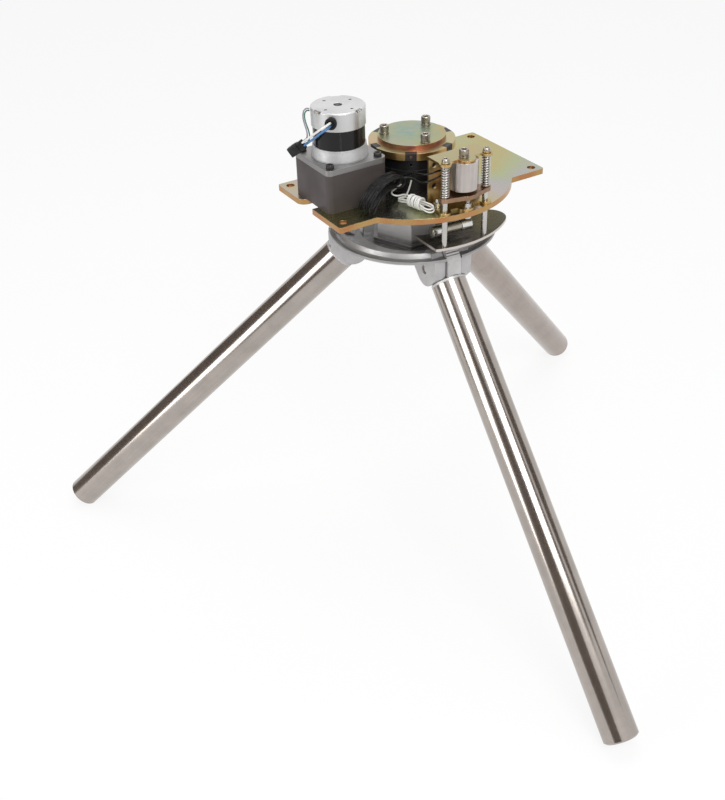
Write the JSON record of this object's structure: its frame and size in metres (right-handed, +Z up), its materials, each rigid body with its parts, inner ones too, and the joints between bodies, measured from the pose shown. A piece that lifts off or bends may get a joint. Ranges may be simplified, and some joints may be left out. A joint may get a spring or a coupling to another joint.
{
  "type": "tripod turnstile mechanism",
  "caption": "Drop-arm tripod turnstile core: mounting plate with geared motor and magnet release above, geared hub below, folding tube arms on hinge pins.",
  "frame": {"origin": "where the main shaft's axis passes the mounting plate's upper face, in the middle of its bolt holes", "axes": "+Z up along the main shaft, from the hub to the motor side; +X along the plate, from the gearbox to the free end; -Y towards the rounded front with the release unit"},
  "size_m": [0.7822, 0.7138, 0.5568],
  "materials": {
    "yellow_steel": "yellow-passivated steel, satin, with a blue-green sheen",
    "bright_steel": "bright zinc-plated steel",
    "dull_steel": "dull plated steel",
    "lever_steel": "olive passivated steel",
    "crescent_steel": "dark machined steel",
    "armature_steel": "passivated steel, copper-toned at its edges",
    "spring_steel": "bright spring wire",
    "magnet_shell": "nickel-plated shell",
    "stainless_tube": "polished stainless steel",
    "cast_alloy": "bead-blasted casting",
    "motor_alloy": "satin turned alloy",
    "gearbox_paint": "dark grey satin paint",
    "black_metal": "satin black",
    "black_rubber": "matt rubber",
    "black_plastic": "moulded nylon",
    "black_insulation": "smooth cable sheath",
    "white_insulation": "smooth wire insulation",
    "blue_insulation": "smooth wire insulation",
    "grey_insulation": "smooth wire insulation",
    "green_insulation": "smooth wire insulation"
  },
  "bodies": {
    "frame": {"plate": "yellow_steel", "plate_screws": "bright_steel", "gearbox_body": "gearbox_paint", "gearbox_cover": "motor_alloy", "cover_screws": "black_metal", "motor_adapter": "motor_alloy", "motor_stator": "black_metal", "motor_cap": "motor_alloy", "lead_grommet": "black_rubber", "lead_plug": "black_plastic", "white_lead": "white_insulation", "blue_lead": "blue_insulation", "sensor_lead_a": "grey_insulation", "sensor_lead_b": "green_insulation", "clutch_housing": "black_metal", "bracket": "yellow_steel", "bracket_bolts": "bright_steel", "magnet": "magnet_shell", "magnet_screw": "dull_steel", "cable_hank": "black_insulation", "magnet_lead_a": "black_insulation", "magnet_lead_b": "black_insulation", "wire_hank": "white_insulation", "wire_wrap": "white_insulation", "wire_end_a": "white_insulation", "wire_end_b": "white_insulation"},
    "hub": {"hub_casting": "cast_alloy", "main_shaft": "bright_steel", "shaft_nut": "bright_steel", "drive_gear": "bright_steel", "slot_ring": "yellow_steel", "slot_blocks": "black_metal", "top_disc": "yellow_steel", "disc_screws": "dull_steel", "lock_lever_a": "lever_steel", "lock_lever_b": "lever_steel", "lock_lever_c": "lever_steel", "arm_pin_a": "bright_steel", "arm_pin_b": "bright_steel", "arm_pin_c": "bright_steel"},
    "drive": {"pinion": "bright_steel"},
    "rollers_a": {"lock_rollers_a": "bright_steel"},
    "rollers_b": {"lock_rollers_b": "bright_steel"},
    "rollers_c": {"lock_rollers_c": "bright_steel"},
    "arm_a": {"arm_root_a": "cast_alloy", "arm_tube_a": "stainless_tube", "arm_cap_a": "stainless_tube"},
    "arm_b": {"arm_root_b": "cast_alloy", "arm_tube_b": "stainless_tube", "arm_cap_b": "stainless_tube"},
    "arm_c": {"arm_root_c": "cast_alloy", "arm_tube_c": "stainless_tube", "arm_cap_c": "stainless_tube"},
    "release": {"armature": "armature_steel", "guide_rods": "bright_steel", "rod_heads": "bright_steel", "crescent": "crescent_steel", "spring_left": "spring_steel", "spring_right": "spring_steel"}
  },
  "joints": [
    {"name": "hub_turn", "type": "hinge", "parent": "frame", "child": "hub", "pos_m": [0, 0, 0], "axis": [0, 0, 1], "continuous": true},
    {"name": "drive_turn", "type": "hinge", "parent": "frame", "child": "drive", "pos_m": [-0.087, 0.002, 0], "axis": [0, 0, 1], "continuous": true},
    {"name": "arm_a_fold", "type": "hinge", "parent": "hub", "child": "arm_a", "pos_m": [-0.00556, -0.06624, -0.07657], "axis": [0.9965, -0.0837, 0], "range_deg": [0, 90]},
    {"name": "arm_b_fold", "type": "hinge", "parent": "hub", "child": "arm_b", "pos_m": [0.06014, 0.0283, -0.07657], "axis": [-0.4258, 0.9048, 0], "range_deg": [0, 45]},
    {"name": "arm_c_fold", "type": "hinge", "parent": "hub", "child": "arm_c", "pos_m": [-0.05458, 0.03793, -0.07657], "axis": [-0.5707, -0.8212, 0], "range_deg": [0, 45]},
    {"name": "rollers_a_turn", "type": "hinge", "parent": "hub", "child": "rollers_a", "pos_m": [-0.00694, -0.08271, -0.0256], "axis": [0.9965, -0.0837, 0], "continuous": true},
    {"name": "rollers_b_turn", "type": "hinge", "parent": "hub", "child": "rollers_b", "pos_m": [0.0751, 0.03534, -0.0256], "axis": [-0.4258, 0.9048, 0], "continuous": true},
    {"name": "rollers_c_turn", "type": "hinge", "parent": "hub", "child": "rollers_c", "pos_m": [-0.06815, 0.04737, -0.0256], "axis": [-0.5707, -0.8212, 0], "continuous": true},
    {"name": "release_lift", "type": "slide", "parent": "frame", "child": "release", "axis": [0, 0, 1], "range_m": [0, 0.0034], "stiffness_N_per_m": 1000, "springref_m": -0.012, "deforming": ["spring_left", "spring_right"]}
  ],
  "couplings": [
    {"joint": "drive_turn", "follows": "hub_turn", "ratio": -3.1429}
  ]
}
